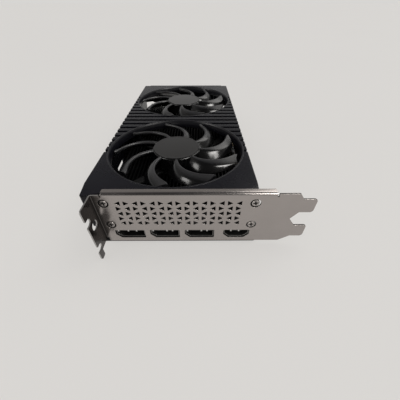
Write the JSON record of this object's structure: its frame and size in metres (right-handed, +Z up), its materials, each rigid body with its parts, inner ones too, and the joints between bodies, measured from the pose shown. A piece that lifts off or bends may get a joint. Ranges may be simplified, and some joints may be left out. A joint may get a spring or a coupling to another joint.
{
  "type": "graphics card",
  "caption": "Dual-slot graphics card lying on its back plate: vented slot bracket with display sockets, ribbed shroud, swept-blade fans on spinning hubs, finned cooler on a slot-edge board",
  "frame": {"origin": "under the middle of the card's bounding box, on the plane the back plate lies on", "axes": "+X from the bracket's screw flange to its slot tabs, +Y from the bracket to the tail, +Z up through the fans"},
  "size_m": [0.1278, 0.219, 0.0404],
  "materials": {
    "bracket_nickel": "satin nickel-plated sheet steel",
    "bracket_screw_steel": "plain plated steel screw",
    "bright_steel": "plain bright steel",
    "shroud_plastic": "black moulded plastic with a fine grain",
    "fan_plastic": "glossy black moulded plastic",
    "label_film": "plain grey printed film",
    "connector_plastic": "black glass-filled plastic",
    "board_mask": "dark solder mask on laminate",
    "chip_resin": "moulded chip resin",
    "silicon": "polished silicon",
    "copper": "bare copper",
    "fin_aluminium": "dark anodised extruded aluminium",
    "ferrite": "grey sintered ferrite",
    "bearing_bronze": "sintered bronze",
    "stator_winding": "laminated core, lacquered copper winding",
    "backplate_paint": "black painted aluminium sheet"
  },
  "bodies": {
    "card": {"backplate": "backplate_paint", "backplate_screw_1": "bright_steel", "backplate_screw_2": "bright_steel", "backplate_screw_3": "bright_steel", "backplate_screw_4": "bright_steel", "bracket_screw_lower_left": "bracket_screw_steel", "bracket_screw_lower_right": "bracket_screw_steel", "bracket_screw_upper_left": "bracket_screw_steel", "bracket_screw_upper_right": "bracket_screw_steel", "choke_1": "ferrite", "choke_2": "ferrite", "choke_3": "ferrite", "choke_4": "ferrite", "circuit_board": "board_mask", "clamp_plate": "bright_steel", "clamp_screw_1": "bright_steel", "clamp_screw_2": "bright_steel", "clamp_screw_3": "bright_steel", "clamp_screw_4": "bright_steel", "cold_plate": "copper", "displayport_1_insert": "connector_plastic", "displayport_1_shell": "bright_steel", "displayport_2_insert": "connector_plastic", "displayport_2_shell": "bright_steel", "displayport_3_insert": "connector_plastic", "displayport_3_shell": "bright_steel", "fan_bearing_front": "bearing_bronze", "fan_bearing_rear": "bearing_bronze", "fan_frame_front": "connector_plastic", "fan_frame_rear": "connector_plastic", "fan_header_front": "connector_plastic", "fan_header_rear": "connector_plastic", "fan_shroud": "shroud_plastic", "fan_stator_front": "stator_winding", "fan_stator_rear": "stator_winding", "gpu_die": "silicon", "gpu_substrate": "board_mask", "hdmi_insert": "connector_plastic", "hdmi_shell": "bright_steel", "heat_pipe_1": "copper", "heat_pipe_2": "copper", "heat_pipe_3": "copper", "heatsink_fins": "fin_aluminium", "io_bracket": "bracket_nickel", "memory_chip_1": "chip_resin", "memory_chip_2": "chip_resin", "memory_chip_3": "chip_resin", "memory_chip_4": "chip_resin", "memory_chip_5": "chip_resin", "memory_chip_6": "chip_resin", "power_socket": "connector_plastic"},
    "front_fan": {"fan_rotor_front": "fan_plastic", "fan_label_front": "label_film", "fan_shaft_front": "bright_steel", "fan_magnet_front": "ferrite"},
    "rear_fan": {"fan_rotor_rear": "fan_plastic", "fan_label_rear": "label_film", "fan_shaft_rear": "bright_steel", "fan_magnet_rear": "ferrite"}
  },
  "joints": [
    {"name": "front_fan_spin", "type": "hinge", "parent": "card", "child": "front_fan", "pos_m": [-0.0151, -0.0428, 0.03], "axis": [0, 0, 1], "continuous": true},
    {"name": "rear_fan_spin", "type": "hinge", "parent": "card", "child": "rear_fan", "pos_m": [-0.0151, 0.0584, 0.03], "axis": [0, 0, 1], "continuous": true}
  ]
}
